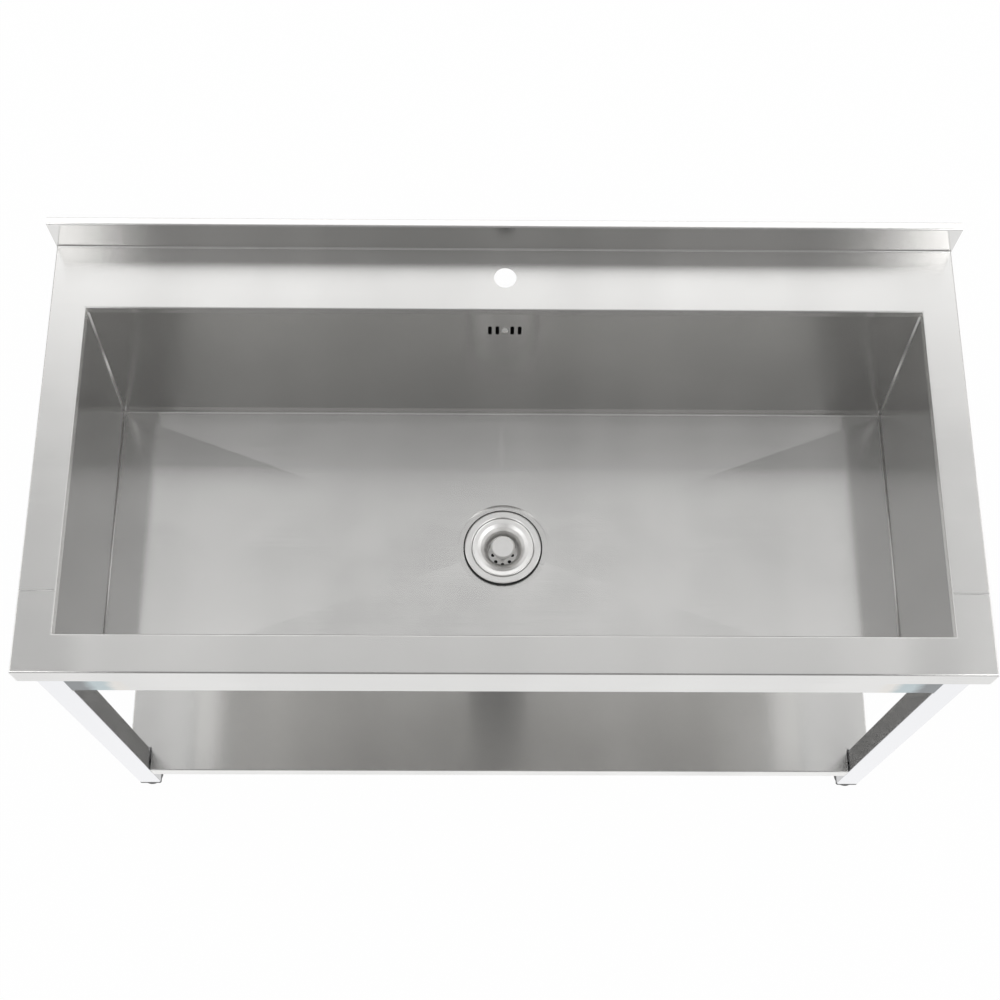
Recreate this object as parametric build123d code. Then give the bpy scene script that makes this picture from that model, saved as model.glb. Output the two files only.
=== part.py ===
from build123d import *
import math
import os

# Free-standing utility sink in folded stainless sheet: one long welded bowl with a creased
# floor, a low backsplash, a basket strainer and an overflow, on a square-tube stand with an
# undershelf and levelling feet.
# Millimetres.  Origin on the floor under the middle of the deck.  +X is the user's right,
# -Y is the user's side, +Z is up.

# ------------------------------------------------------------------ overall sizes
WIDTH = 1200.0
DEPTH = 600.0
HEIGHT = 800.0
SPLASH_RISE = 55.0
SPLASH_DEPTH = 12.0
SPLASH_TURN_DOWN = 25.0
SHEET = 1.2
FOLD = 2.5
COVE = 3.0
LIP = 38.0
HEM = 8.0

HALF_W = WIDTH / 2
FRONT_Y = -DEPTH / 2
REAR_Y = DEPTH / 2
SPLASH_Y = REAR_Y - SPLASH_DEPTH
DECK_Z = HEIGHT - SPLASH_RISE
LIP_Z = DECK_Z - LIP
UNDER_DECK_Z = DECK_Z - SHEET

# ------------------------------------------------------------------ bowl
OPENING_HALF_W = 552.0
OPENING_FRONT_Y = FRONT_Y + 50.0
OPENING_REAR_Y = FRONT_Y + 495.0
OPENING_FLANGE = 12.0
FRONT_SEAM_Y = FRONT_Y + 105.0
REAR_SEAM_Y = OPENING_REAR_Y - 3.0
SPLASH_SEAM_Y = SPLASH_Y - COVE
BOWL_DEPTH = 255.0
REAR_WALL_LEAN = 33.0
FLOOR_FALL = 8.0
FLOOR_MARGIN = 5.0
FLOOR_BEND = 3.0
PAN_UPSTAND = 12.0

FLOOR_Z = DECK_Z - BOWL_DEPTH
WALL_TOP_Z = DECK_Z - OPENING_FLANGE
WALL_FOOT_Z = FLOOR_Z + PAN_UPSTAND
FLOOR_REAR_Y = OPENING_REAR_Y - REAR_WALL_LEAN
LEAN_SLOPE = REAR_WALL_LEAN / (WALL_TOP_Z - FLOOR_Z)
LEAN_ANGLE = math.degrees(math.atan(LEAN_SLOPE))

# ------------------------------------------------------------------ drain and overflow
TAP_HOLE_R = 15.0
TAP_HOLE_Y = FRONT_Y + 544.0
DRAIN_Y = (OPENING_FRONT_Y + FLOOR_REAR_Y) / 2
DRAIN_HOLE_R = 46.0
RECESS_R = 64.0
RECESS_DEPTH = 1.5
SEAT_Z = FLOOR_Z - FLOOR_FALL - RECESS_DEPTH
GASKET_R = 56.0
GASKET_T = 3.0
FLANGE_R = 54.0
CUP_TOP_R = 44.0
CUP_R = 40.0
CUP_DEPTH = 46.0
BASKET_R = 43.2
BASKET_SHEET = 0.8
BASKET_PROUD = 1.2
WELL_R = 21.0
WELL_DROP = 17.0
WELL_DEPTH = 19.0
KNOB_R = 17.0
KNOB_T = 4.5
KNOB_PROUD = 1.8
KNOB_STEM_R = 4.0
KNOB_TAIL = 3.0
POT_R = 56.0
POT_DEPTH = 50.0
POT_WALL = 3.0
OUTLET_R = 23.9
OUTLET_BORE_R = 20.0
OUTLET_LENGTH = 24.0
HOSE_R = 10.0
HOSE_BORE_R = 8.0
SEAL_T = 2.0
GAP = 0.3

CUP_TOP_Z = SEAT_Z + GASKET_T
CUP_BOTTOM_Z = CUP_TOP_Z - CUP_DEPTH
CUP_FLOOR_Z = CUP_BOTTOM_Z + SHEET
BASKET_RIM_Z = CUP_TOP_Z + BASKET_PROUD
WELL_RIM_Z = BASKET_RIM_Z - WELL_DROP
WELL_FLOOR_Z = WELL_RIM_Z - WELL_DEPTH
POT_RIM_Z = SEAT_Z - SHEET - SEAL_T
POT_BOTTOM_Z = POT_RIM_Z - POT_DEPTH

OVERFLOW_Z = DECK_Z - 48.0
SLOT_WIDTH = 5.0
SLOT_HEIGHT = 19.0
SLOT_PITCH = 10.0
SLOT_PLACES = (-2, -1, 1, 2)
HOUSING_W = 64.0
HOUSING_H = 36.0
HOUSING_D = 18.0
HOUSING_WALL = 2.0
HOUSING_CORNER = 6.0

# ------------------------------------------------------------------ stand
LEG = 35.0
LEG_INSET = 11.0
TUBE_CORNER = 3.0
RAIL_H = 50.0
RAIL_D = 25.0
RAIL_TOP_Z = DECK_Z - 77.0
REAR_RAIL_TOP_Z = RAIL_TOP_Z - 40.0
SHELF_Z = 115.0
SHELF_FLANGE = 30.0
SHELF_SIDE_INSET = 2.0
NOTCH_GAP = 1.0
SHELF_FOLD = 2.0
CHANNEL_TOP_W = 50.0
CHANNEL_FEET_W = 90.0
CHANNEL_H = 20.0
BRACKET_W = 30.0
BRACKET_LEG = 40.0
BRACKET_T = 3.0
BRACKET_STUD = 25.0
SHELF_BOLT_Z = 100.0
BRACKET_BOLT_Z = UNDER_DECK_Z - 26.0

LEG_X = HALF_W - LEG_INSET - LEG / 2
LEG_Y = REAR_Y - LEG_INSET - LEG / 2
LEG_INNER_X = LEG_X - LEG / 2
LEG_INNER_Y = LEG_Y - LEG / 2
LEG_OUTER_X = LEG_X + LEG / 2
LEG_OUTER_Y = LEG_Y + LEG / 2
NOTCH_X = LEG_INNER_X - NOTCH_GAP
NOTCH_Y = LEG_INNER_Y - NOTCH_GAP
SHELF_X = LEG_OUTER_X - SHELF_SIDE_INSET
SHELF_Y = LEG_OUTER_Y
STUD_Y = NOTCH_Y - BRACKET_STUD

# ------------------------------------------------------------------ feet
PAD_R = 17.0
PAD_H = 11.7
PAD_EDGE = 2.0
STEM_R = 5.0
STEM_FOOT_Z = 4.0
STEM_TOP_Z = 70.0
INSERT_Z = PAD_H + GAP
INSERT_FLANGE = 8.0
PLUG_H = 28.0
PLUG_SIDE_GAP = 0.2
THREAD_GAP = 0.1
NUT_AF = 17.0
NUT_H = 8.0
LEG_FOOT_Z = INSERT_Z + INSERT_FLANGE

# ------------------------------------------------------------------ fasteners
M6_R = 3.0
M6_HOLE_R = 3.2
M6_AF = 10.0
M6_HEAD = 4.0
M6_NUT = 5.0
M6_LENGTH = 16.0
STUD_LENGTH = 16.0
DRILL_REACH = 6.0

CORNERS = {
    "front_left": (-1, -1),
    "front_right": (1, -1),
    "rear_left": (-1, 1),
    "rear_right": (1, 1),
}

FAR = 2000.0


# ------------------------------------------------------------------ helpers
def block(x_span, y_span, z_span):
    """Upright block filling three spans."""
    size = [high - low for low, high in (x_span, y_span, z_span)]
    middle = [(high + low) / 2 for low, high in (x_span, y_span, z_span)]
    return Pos(*middle) * Box(*size)


def rounded_outline(points, corners, radius):
    """Closed outline with some of its corners rounded."""
    outline = Polygon(*points, align=None)
    picked = []
    for corner in corners:
        picked.append(outline.vertices().sort_by_distance((*corner, 0))[0])
    return fillet(picked, radius)


def along_x(outline, half_length):
    """Extrudes a Y-Z outline both ways along X."""
    return extrude(Plane.YZ * outline, half_length, both=True)


def cylinder(radius, z_span, x=0.0, y=0.0):
    """Upright cylinder between two heights."""
    low, high = z_span
    return Pos(x, y, (low + high) / 2) * Cylinder(radius, high - low)


def ring(outer, inner, z_span, x=0.0, y=0.0):
    """Upright ring between two heights."""
    return cylinder(outer, z_span, x, y) - cylinder(inner, z_span, x, y)


def cross_hole(radius, x_span, y, z):
    """Drilling along X."""
    low, high = x_span
    return Pos((low + high) / 2, y, z) * Rot(0, 90, 0) * Cylinder(radius, high - low)


def lengthwise_hole(radius, x, y_span, z):
    """Drilling along Y."""
    low, high = y_span
    return Pos(x, (low + high) / 2, z) * Rot(90, 0, 0) * Cylinder(radius, high - low)


def hexagon(across_flats, z_span):
    """Upright hexagonal bar about the Z axis."""
    low, high = z_span
    radius = across_flats / math.sqrt(3)
    return Pos(0, 0, low) * extrude(RegularPolygon(radius, side_count=6), high - low)


def hex_nut(across_flats, bore, z_span):
    """Upright hexagon nut about the Z axis."""
    return hexagon(across_flats, z_span) - cylinder(bore, z_span)


def turned(points, y=0.0):
    """Solid of revolution about an upright axis from radius and height pairs."""
    profile = Plane.XZ * Polygon(*points, align=None)
    return Pos(0, y, 0) * revolve(profile, Axis.Z)


def tube(width, depth, z_span, wall=SHEET):
    """Upright square or rectangular tube with rolled outer corners."""
    low, high = z_span
    outside = RectangleRounded(width, depth, TUBE_CORNER)
    inside = Rectangle(width - 2 * wall, depth - 2 * wall)
    return Pos(0, 0, low) * extrude(outside - inside, high - low)


def rear_wall_y(z):
    """Y of the leaning rear wall's inner face at a height."""
    return FLOOR_REAR_Y + LEAN_SLOPE * (z - FLOOR_Z)


def wall_plane(z, outward=0.0):
    """Plane on the rear wall: its normal points out of the bowl, its Y axis down the wall."""
    normal = Vector(0, math.cos(math.radians(LEAN_ANGLE)), -math.sin(math.radians(LEAN_ANGLE)))
    origin = Vector(0, rear_wall_y(z), z) + normal * outward
    return Plane(origin=origin, x_dir=(1, 0, 0), z_dir=normal)


# ------------------------------------------------------------------ deck
def deck_body(inset, fold):
    """Filled deck, drawn in by a distance, with its front and side folds rounded."""
    side = HALF_W - inset
    body = block((-side, side), (FRONT_Y + inset, REAR_Y + inset), (LIP_Z - inset, DECK_Z - inset))
    top_edges = body.faces().sort_by(Axis.Z)[-1].edges()
    folded = 3
    return fillet(top_edges.sort_by(Axis.Y)[:folded], fold)


def splash_body(inset, fold):
    """Filled backsplash, drawn in by a distance."""
    side = HALF_W - inset
    front = SPLASH_Y + inset
    rear = REAR_Y - inset
    top = HEIGHT - inset
    low = DECK_Z - FOLD
    outline = rounded_outline(
        [(front, low), (front, top), (rear, top), (rear, low)], [(front, top), (rear, top)], fold
    )
    return along_x(outline, side)


def deck_cove():
    """Inside radius where the deck folds up into the backsplash."""
    corner = (SPLASH_Y, DECK_Z)
    outline = Polygon(corner, (SPLASH_Y - COVE, DECK_Z), (SPLASH_Y, DECK_Z + COVE), align=None)
    outline -= Pos(SPLASH_Y - COVE, DECK_Z + COVE) * Circle(COVE)
    return along_x(outline, HALF_W - FOLD)


def deck_shell():
    """Deck, lips, opening flange and backsplash in one piece."""
    envelope = deck_body(0, FOLD) + splash_body(0, FOLD) + deck_cove()
    opening = block(
        (-OPENING_HALF_W, OPENING_HALF_W), (OPENING_FRONT_Y, OPENING_REAR_Y), (LIP_Z - SHEET, HEIGHT)
    )
    flange = block(
        (-OPENING_HALF_W - SHEET, OPENING_HALF_W + SHEET),
        (OPENING_FRONT_Y - SHEET, OPENING_REAR_Y + SHEET),
        (WALL_TOP_Z, DECK_Z),
    )
    rear_gap = block(
        (-HALF_W + SHEET, HALF_W - SHEET),
        (SPLASH_Y + SHEET, REAR_Y + SHEET),
        (LIP_Z - SHEET, HEIGHT - SPLASH_TURN_DOWN),
    )
    cavity = deck_body(SHEET, FOLD - SHEET) - flange
    cavity += splash_body(SHEET, FOLD - SHEET) + rear_gap
    hem = block((-HALF_W, HALF_W), (FRONT_Y, REAR_Y), (LIP_Z, LIP_Z + SHEET))
    hem -= block(
        (-HALF_W + SHEET + HEM, HALF_W - SHEET - HEM),
        (FRONT_Y + SHEET + HEM, REAR_Y + SHEET),
        (LIP_Z - SHEET, DECK_Z),
    )
    shell = envelope - cavity + hem - opening
    on_rim = [
        edge
        for edge in shell.edges().filter_by_position(Axis.Z, DECK_Z - GAP, DECK_Z + GAP)
        if abs(edge.center().X) < OPENING_HALF_W + GAP
        and OPENING_FRONT_Y - GAP < edge.center().Y < OPENING_REAR_Y + GAP
    ]
    shell = fillet(on_rim, FOLD)
    return shell - cylinder(TAP_HOLE_R, (LIP_Z, HEIGHT), y=TAP_HOLE_Y)


def deck_pieces():
    """Deck cut at its front weld, behind the bowl opening and at the backsplash fold."""
    shell = deck_shell()
    spans = {
        "front_rim": ((-FAR, FAR), (-FAR, FRONT_SEAM_Y)),
        "rim_left": ((-FAR, 0), (FRONT_SEAM_Y, REAR_SEAM_Y)),
        "rim_right": ((0, FAR), (FRONT_SEAM_Y, REAR_SEAM_Y)),
        "rear_ledge": ((-FAR, FAR), (REAR_SEAM_Y, SPLASH_SEAM_Y)),
        "backsplash": ((-FAR, FAR), (SPLASH_SEAM_Y, FAR)),
    }
    return {name: shell & block(x_span, y_span, (0, FAR)) for name, (x_span, y_span) in spans.items()}


# ------------------------------------------------------------------ bowl
def floor_facets(depth, direction):
    """Four flat facets falling from the floor's edges to the drain, drawn out up or down."""
    x = OPENING_HALF_W - FLOOR_MARGIN
    front = OPENING_FRONT_Y + FLOOR_MARGIN
    rear = FLOOR_REAR_Y - FLOOR_MARGIN
    corners = [(-x, front, FLOOR_Z), (x, front, FLOOR_Z), (x, rear, FLOOR_Z), (-x, rear, FLOOR_Z)]
    lowest = (0, DRAIN_Y, FLOOR_Z - FLOOR_FALL)
    facets = []
    for index, corner in enumerate(corners):
        following = corners[(index + 1) % len(corners)]
        facet = make_face(Polyline(corner, following, lowest, close=True))
        facets.append(extrude(facet, depth, dir=(0, 0, direction)))
    return facets


def bowl_floor():
    """Folded floor pan: upstands front and rear, creased fall, pressed recess for the strainer."""
    inner = [
        (OPENING_FRONT_Y, WALL_FOOT_Z),
        (OPENING_FRONT_Y, FLOOR_Z),
        (FLOOR_REAR_Y, FLOOR_Z),
        (rear_wall_y(WALL_FOOT_Z), WALL_FOOT_Z),
    ]
    lean_shift = SHEET / math.cos(math.radians(LEAN_ANGLE))
    rear_foot_y = rear_wall_y(FLOOR_Z - SHEET) + lean_shift
    outer = [
        (OPENING_FRONT_Y - SHEET, WALL_FOOT_Z),
        (OPENING_FRONT_Y - SHEET, FLOOR_Z - SHEET),
        (rear_foot_y, FLOOR_Z - SHEET),
        (rear_wall_y(WALL_FOOT_Z) + lean_shift, WALL_FOOT_Z),
    ]
    pan = along_x(rounded_outline(outer, outer[1:3], FLOOR_BEND + SHEET), OPENING_HALF_W)
    pan -= along_x(rounded_outline(inner, inner[1:3], FLOOR_BEND), OPENING_HALF_W)
    pan -= block(
        (-OPENING_HALF_W + FLOOR_MARGIN, OPENING_HALF_W - FLOOR_MARGIN),
        (OPENING_FRONT_Y + FLOOR_MARGIN, FLOOR_REAR_Y - FLOOR_MARGIN),
        (FLOOR_Z - 2 * SHEET, FLOOR_Z + SHEET),
    )
    creased = Part() + floor_facets(SHEET, -1)
    creased -= cylinder(RECESS_R + SHEET, (SEAT_Z - BOWL_DEPTH, FLOOR_Z), y=DRAIN_Y)
    recess = cylinder(RECESS_R + SHEET, (SEAT_Z - SHEET, FLOOR_Z), y=DRAIN_Y)
    recess -= cylinder(RECESS_R, (SEAT_Z, FLOOR_Z), y=DRAIN_Y)
    recess -= cylinder(DRAIN_HOLE_R, (SEAT_Z - 2 * SHEET, FLOOR_Z), y=DRAIN_Y)
    recess -= Part() + floor_facets(BOWL_DEPTH, 1)
    return pan + creased + recess


def bowl_wall_front():
    """Upright front wall, butted to the opening flange and to the floor pan."""
    return block(
        (-OPENING_HALF_W, OPENING_HALF_W),
        (OPENING_FRONT_Y - SHEET, OPENING_FRONT_Y),
        (WALL_FOOT_Z, WALL_TOP_Z),
    )


def bowl_wall_rear():
    """Leaning rear wall with two pairs of overflow slots either side of a screw hole."""
    lean_shift = SHEET / math.cos(math.radians(LEAN_ANGLE))
    low_y = rear_wall_y(WALL_FOOT_Z)
    high_y = rear_wall_y(WALL_TOP_Z)
    outline = Polygon(
        (low_y, WALL_FOOT_Z),
        (high_y, WALL_TOP_Z),
        (high_y + lean_shift, WALL_TOP_Z),
        (low_y + lean_shift, WALL_FOOT_Z),
        align=None,
    )
    wall = along_x(outline, OPENING_HALF_W)
    plane = wall_plane(OVERFLOW_Z)
    for place in SLOT_PLACES:
        slot = Pos(place * SLOT_PITCH, 0) * SlotOverall(SLOT_HEIGHT, SLOT_WIDTH, rotation=90)
        wall -= extrude(plane * slot, 2 * SHEET, both=True)
    return wall - extrude(plane * Circle(M6_HOLE_R), 2 * SHEET, both=True)


def bowl_wall_end(side):
    """End wall, welded to the edges of the other walls and the floor pan."""
    lean_shift = SHEET / math.cos(math.radians(LEAN_ANGLE))
    foot_z = FLOOR_Z - SHEET
    corners = [
        (OPENING_FRONT_Y - SHEET, foot_z),
        (rear_wall_y(foot_z) + lean_shift, foot_z),
        (rear_wall_y(WALL_TOP_Z) + lean_shift, WALL_TOP_Z),
        (OPENING_FRONT_Y - SHEET, WALL_TOP_Z),
    ]
    outline = rounded_outline(corners, corners[:2], FLOOR_BEND + SHEET)
    plate = along_x(outline, SHEET / 2)
    return Pos(side * (OPENING_HALF_W + SHEET / 2), 0, 0) * plate


# ------------------------------------------------------------------ overflow
def frame_prism(plane, width, height, low, high, corner):
    """Rounded block standing on a plane between two distances from it."""
    return extrude(plane.offset(low) * RectangleRounded(width, height, corner), high - low)


def overflow_seal():
    """Flat rubber frame between the wall and the housing."""
    plane = wall_plane(OVERFLOW_Z, SHEET)
    rim = 2 * HOUSING_WALL + 2
    seal = frame_prism(plane, HOUSING_W, HOUSING_H, 0, SEAL_T, HOUSING_CORNER)
    seal -= frame_prism(plane, HOUSING_W - 2 * rim, HOUSING_H - 2 * rim, 0, SEAL_T, HOUSING_CORNER / 2)
    return seal


def hose_tail(length, radius, bore):
    """Hose tail pointing down from the origin with a bead at its tip, and its bore as a second solid."""
    bead = 1.0
    bead_h = 5.0
    tail = cylinder(radius, (-length, 0))
    tail += Pos(0, 0, bead_h / 2 - length) * Cone(radius, radius + bead, bead_h)
    return tail, cylinder(bore, (-length, HOSE_R))


def overflow_housing():
    """Moulded box behind the overflow slots, with a screw boss and a hose tail below it."""
    plane = wall_plane(OVERFLOW_Z, SHEET)
    near = SEAL_T
    far = SEAL_T + HOUSING_D
    shell = frame_prism(plane, HOUSING_W, HOUSING_H, near, far, HOUSING_CORNER)
    inner_w = HOUSING_W - 2 * HOUSING_WALL
    inner_h = HOUSING_H - 2 * HOUSING_WALL
    inner_corner = HOUSING_CORNER - HOUSING_WALL
    room = frame_prism(plane, inner_w, inner_h, near, far - HOUSING_WALL, inner_corner)
    boss = extrude(plane.offset(near) * Circle(2 * M6_R), HOUSING_D)
    thread = extrude(plane * Circle(M6_R + THREAD_GAP / 2), HOUSING_D)
    tail_length = 34.0
    tail, bore = hose_tail(tail_length, HOSE_R, HOSE_BORE_R)
    spot = plane.offset(SEAL_T + HOUSING_D / 2).origin
    drop = Pos(spot.X, spot.Y, spot.Z - HOUSING_H / 2 + HOUSING_WALL)
    return shell + drop * tail - room - drop * bore + boss - thread


def overflow_screw():
    """Domed screw that holds the housing, its head inside the bowl."""
    inward = wall_plane(OVERFLOW_Z)
    inward = Plane(inward.origin, x_dir=inward.x_dir, z_dir=-inward.z_dir)
    head_r = 4.2
    edge = 1.0
    crown = 2.4
    head = turned([(0, 0), (head_r, 0), (head_r, edge), (head_r / 2, crown), (0, crown)])
    return inward.location * (head + cylinder(M6_R, (-M6_LENGTH, 0)))


# ------------------------------------------------------------------ strainer
def strainer_gasket():
    """Rubber ring under the strainer's flange; its edge shows as a black line."""
    return ring(GASKET_R, DRAIN_HOLE_R, (SEAT_Z, CUP_TOP_Z), y=DRAIN_Y)


def strainer_flange():
    """Pressed flange and cup with a ring of outlet holes round the clamping screw."""
    top = CUP_TOP_Z
    bottom = CUP_BOTTOM_Z
    step_z = top - 12.0
    roll = 1.5
    rise = 2.4
    profile = [
        (FLANGE_R, top),
        (FLANGE_R, top + roll),
        (FLANGE_R - roll, top + rise),
        (CUP_TOP_R + roll, top + rise),
        (CUP_TOP_R, top + roll),
        (CUP_TOP_R, step_z),
        (CUP_R, step_z - roll),
        (CUP_R, CUP_FLOOR_Z),
        (0, CUP_FLOOR_Z),
        (0, bottom),
        (CUP_R + SHEET, bottom),
        (CUP_R + SHEET, step_z - roll - SHEET / 2),
        (CUP_TOP_R + SHEET, step_z - SHEET / 2),
        (CUP_TOP_R + SHEET, top),
    ]
    cup = turned(profile, DRAIN_Y)
    outlet_r = 3.6
    outlet_circle = 13.0
    outlet_count = 6
    through = (bottom - SHEET, CUP_FLOOR_Z + SHEET)
    for spot in PolarLocations(outlet_circle, outlet_count):
        cup -= Pos(0, DRAIN_Y, 0) * spot * cylinder(outlet_r, through)
    return cup - cylinder(M6_HOLE_R, through, y=DRAIN_Y)


def drain_pot():
    """Moulded pot under the bowl: overflow inlet at the back, threaded outlet below."""
    rim_z = POT_RIM_Z
    bottom = POT_BOTTOM_Z
    rim_h = 7.0
    body_r = 49.0
    taper = 3.0
    floor_t = 3.0
    outside = turned(
        [
            (0, rim_z),
            (POT_R, rim_z),
            (POT_R, rim_z - rim_h),
            (body_r, rim_z - rim_h - taper),
            (body_r - taper, bottom + taper),
            (body_r - 2 * taper, bottom),
            (OUTLET_R, bottom),
            (OUTLET_R, bottom - OUTLET_LENGTH),
            (0, bottom - OUTLET_LENGTH),
        ],
        DRAIN_Y,
    )
    inside = turned(
        [
            (0, rim_z),
            (body_r - POT_WALL, rim_z),
            (body_r - taper - POT_WALL, bottom + floor_t + taper),
            (body_r - 3 * taper - POT_WALL, bottom + floor_t),
            (OUTLET_BORE_R, bottom + floor_t),
            (OUTLET_BORE_R, bottom - OUTLET_LENGTH),
            (0, bottom - OUTLET_LENGTH),
        ],
        DRAIN_Y,
    )
    inlet_z = rim_z - POT_DEPTH / 2
    tail_length = 30.0
    tail, bore = hose_tail(tail_length, HOSE_R, HOSE_BORE_R)
    place = Pos(0, DRAIN_Y + body_r - POT_WALL, inlet_z) * Rot(90, 0, 0)
    pot = outside + place * tail - inside - place * bore
    boss_r = 6.0
    web_t = 2.5
    web_h = 8.0
    web_count = 3
    boss_z = (bottom, CUP_BOTTOM_Z)
    for index in range(web_count):
        web = block((0, OUTLET_BORE_R + floor_t), (-web_t / 2, web_t / 2), (bottom, bottom + web_h))
        web &= cylinder(OUTLET_BORE_R + floor_t / 2, (bottom, bottom + web_h))
        pot += Pos(0, DRAIN_Y, 0) * Rot(0, 0, 90 + index * 360 / web_count) * web
    pot += cylinder(boss_r, boss_z, y=DRAIN_Y)
    return pot - cylinder(M6_R + THREAD_GAP / 2, boss_z, y=DRAIN_Y)


def drain_pot_seal():
    """Rubber ring between the floor pan and the pot."""
    return ring(POT_R, DRAIN_HOLE_R + SEAL_T, (POT_RIM_Z, POT_RIM_Z + SEAL_T), y=DRAIN_Y)


def drain_screw():
    """Slotted screw that draws the pot up against the flange."""
    head_r = 5.5
    edge = 1.3
    crown = 2.6
    slot_w = 1.2
    length = 22.0
    head = turned([(0, 0), (head_r, 0), (head_r, edge), (head_r / 2, crown), (0, crown)])
    head -= block((-head_r, head_r), (-slot_w / 2, slot_w / 2), (edge, crown))
    return Pos(0, DRAIN_Y, CUP_FLOOR_Z) * (head + cylinder(M6_R, (-length, 0)))


# ------------------------------------------------------------------ lift-out basket
def basket_cup():
    """Dished basket with a beaded rim and a perforated well."""
    bead = 1.6
    crown = 0.4
    steps = 6
    sweep = 1.3
    dish = []
    underside = []
    for step in range(steps + 1):
        turn = math.radians(90 * step / steps)
        radius = WELL_R + (BASKET_R - bead - WELL_R) * (1 - math.sin(turn))
        height = WELL_RIM_Z + WELL_DROP * math.cos(turn) ** sweep
        dish.append((radius, height))
        underside.append((radius + BASKET_SHEET / 2, height - BASKET_SHEET))
    profile = [(BASKET_R, BASKET_RIM_Z - bead), (BASKET_R, BASKET_RIM_Z)]
    profile.append((BASKET_R - bead / 2, BASKET_RIM_Z + crown))
    profile += dish
    profile.append((WELL_R, WELL_FLOOR_Z + BASKET_SHEET))
    profile.append((0, WELL_FLOOR_Z + BASKET_SHEET))
    profile.append((0, WELL_FLOOR_Z))
    profile.append((WELL_R + BASKET_SHEET, WELL_FLOOR_Z))
    profile.append((WELL_R + BASKET_SHEET, WELL_RIM_Z - BASKET_SHEET))
    profile += reversed(underside[:-1])
    profile.append((BASKET_R - bead, BASKET_RIM_Z - bead))
    basket = turned(profile)
    hole_r = 2.6
    drill_span = (WELL_R - 2 * hole_r, WELL_R + 2 * hole_r)
    wall_holes = 12
    for index in range(wall_holes):
        turn = Rot(0, 0, index * 360 / wall_holes)
        basket -= turn * cross_hole(hole_r, drill_span, 0, WELL_FLOOR_Z + WELL_DEPTH / 2)
    floor_circle = 14.0
    floor_holes = 8
    through = (WELL_FLOOR_Z - BASKET_SHEET, WELL_RIM_Z)
    for spot in PolarLocations(floor_circle, floor_holes):
        basket -= spot * cylinder(hole_r, through)
    return Pos(0, DRAIN_Y, 0) * (basket - cylinder(KNOB_STEM_R, through))


def basket_knob():
    """Turned knob on a stem that passes through the basket's floor."""
    top = BASKET_RIM_Z + KNOB_PROUD
    under = top - KNOB_T
    crown = 0.8
    edge = 1.2
    collar_r = 12.0
    collar_z = under - 5.0
    waist_r = 7.0
    waist_z = collar_z - 3.0
    knob = [
        (0, top),
        (KNOB_R - crown - edge, top),
        (KNOB_R - edge, top - crown),
        (KNOB_R, top - crown - edge),
        (KNOB_R, under),
        (collar_r, under - edge),
        (collar_r, collar_z),
        (waist_r, waist_z),
        (waist_r, WELL_FLOOR_Z + BASKET_SHEET),
        (KNOB_STEM_R, WELL_FLOOR_Z + BASKET_SHEET),
        (KNOB_STEM_R, WELL_FLOOR_Z - KNOB_TAIL),
        (0, WELL_FLOOR_Z - KNOB_TAIL),
    ]
    return turned(knob, DRAIN_Y)


def basket_seal():
    """Rubber stopper disc under the basket, with a lip that closes the outlet holes."""
    seat = CUP_FLOOR_Z + GAP
    lip_r = 18.5
    lip_h = 2.5
    screw_room = 7.0
    profile = [
        (KNOB_STEM_R, WELL_FLOOR_Z),
        (lip_r, WELL_FLOOR_Z),
        (lip_r, WELL_FLOOR_Z - KNOB_TAIL),
        (lip_r - lip_h, seat + lip_h),
        (lip_r, seat),
        (screw_room, seat),
        (screw_room, WELL_FLOOR_Z - KNOB_TAIL),
        (KNOB_STEM_R, WELL_FLOOR_Z - KNOB_TAIL),
    ]
    return turned(profile, DRAIN_Y)


# ------------------------------------------------------------------ stand
def leg(side, end):
    """Square tube leg, drilled for the shelf bolt and the bracket bolt."""
    x = side * LEG_X
    y = end * LEG_Y
    post = Pos(x, y, 0) * tube(LEG, LEG, (LEG_FOOT_Z, UNDER_DECK_Z))
    inner_x = sorted((side * LEG_INNER_X - DRILL_REACH, side * LEG_INNER_X + DRILL_REACH))
    inner_y = sorted((end * LEG_INNER_Y - DRILL_REACH, end * LEG_INNER_Y + DRILL_REACH))
    post -= cross_hole(M6_HOLE_R, inner_x, y, SHELF_BOLT_Z)
    return post - lengthwise_hole(M6_HOLE_R, x, inner_y, BRACKET_BOLT_Z)


def rail_along_x(end, top_z):
    """Rectangular tube between two legs, flush with their outer faces."""
    bar = Rot(0, 90, 0) * tube(RAIL_H, RAIL_D, (-LEG_INNER_X, LEG_INNER_X))
    return Pos(0, end * (LEG_OUTER_Y - RAIL_D / 2), top_z - RAIL_H / 2) * bar


def rail_along_y(side):
    """Rectangular tube between a front and a rear leg."""
    bar = Rot(90, 0, 0) * tube(RAIL_D, RAIL_H, (-LEG_INNER_Y, LEG_INNER_Y))
    return Pos(side * (LEG_OUTER_X - RAIL_D / 2), 0, RAIL_TOP_Z - RAIL_H / 2) * bar


def shelf_outline(inset):
    """Plan of the shelf with a notch for each leg, drawn in by a distance."""
    wide = Rectangle(2 * (SHELF_X - inset), 2 * (NOTCH_Y - inset))
    deep = Rectangle(2 * (NOTCH_X - inset), 2 * (SHELF_Y - inset))
    return wide + deep


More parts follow.
